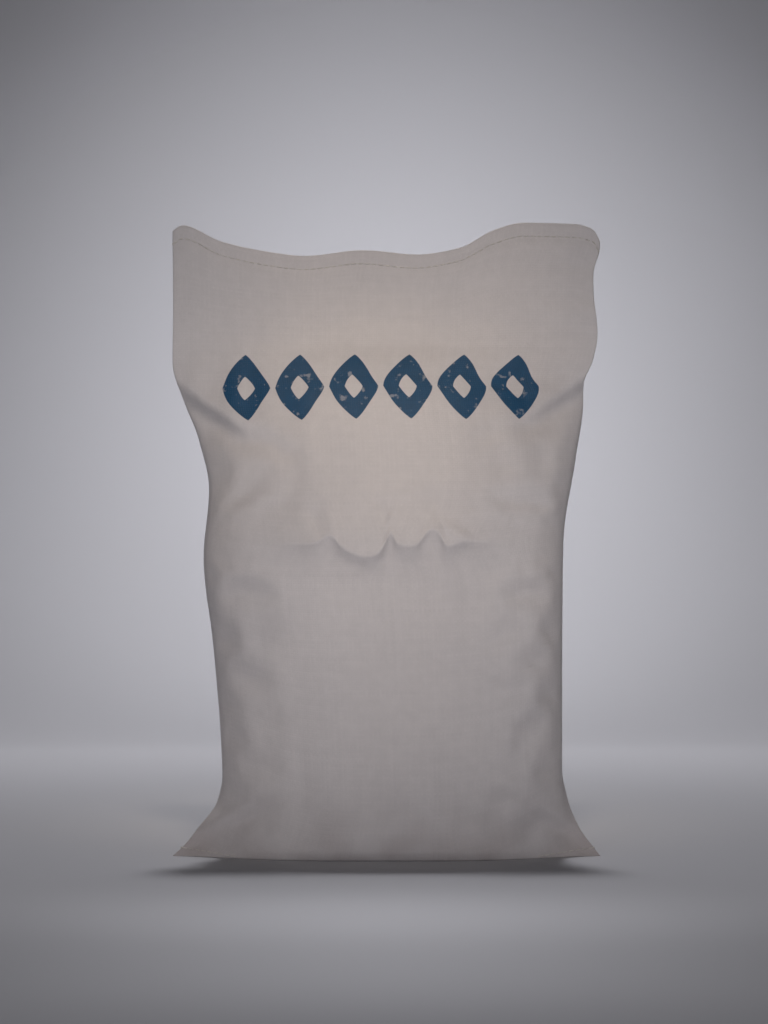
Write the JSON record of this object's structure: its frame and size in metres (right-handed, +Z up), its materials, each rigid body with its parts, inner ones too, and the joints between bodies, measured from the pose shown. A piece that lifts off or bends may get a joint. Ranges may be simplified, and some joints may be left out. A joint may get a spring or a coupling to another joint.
{
  "type": "sack of sugar",
  "caption": "Full woven sack of sugar standing upright: a rounded, creased belly, a flat empty flap sewn shut at the top, and pinched ears at the ends of its bottom seam.",
  "frame": {"origin": "on the floor, under the middle of the sack's box", "axes": "+Z up, towards the sewn top edge; -Y towards the printed front; +X to the right as seen from the front"},
  "size_m": [0.5, 0.2036, 0.738],
  "materials": {
    "woven_white": "matt woven fabric with a faint sheen"
  },
  "bodies": {
    "root": {"sack": "woven_white"}
  },
  "joints": []
}
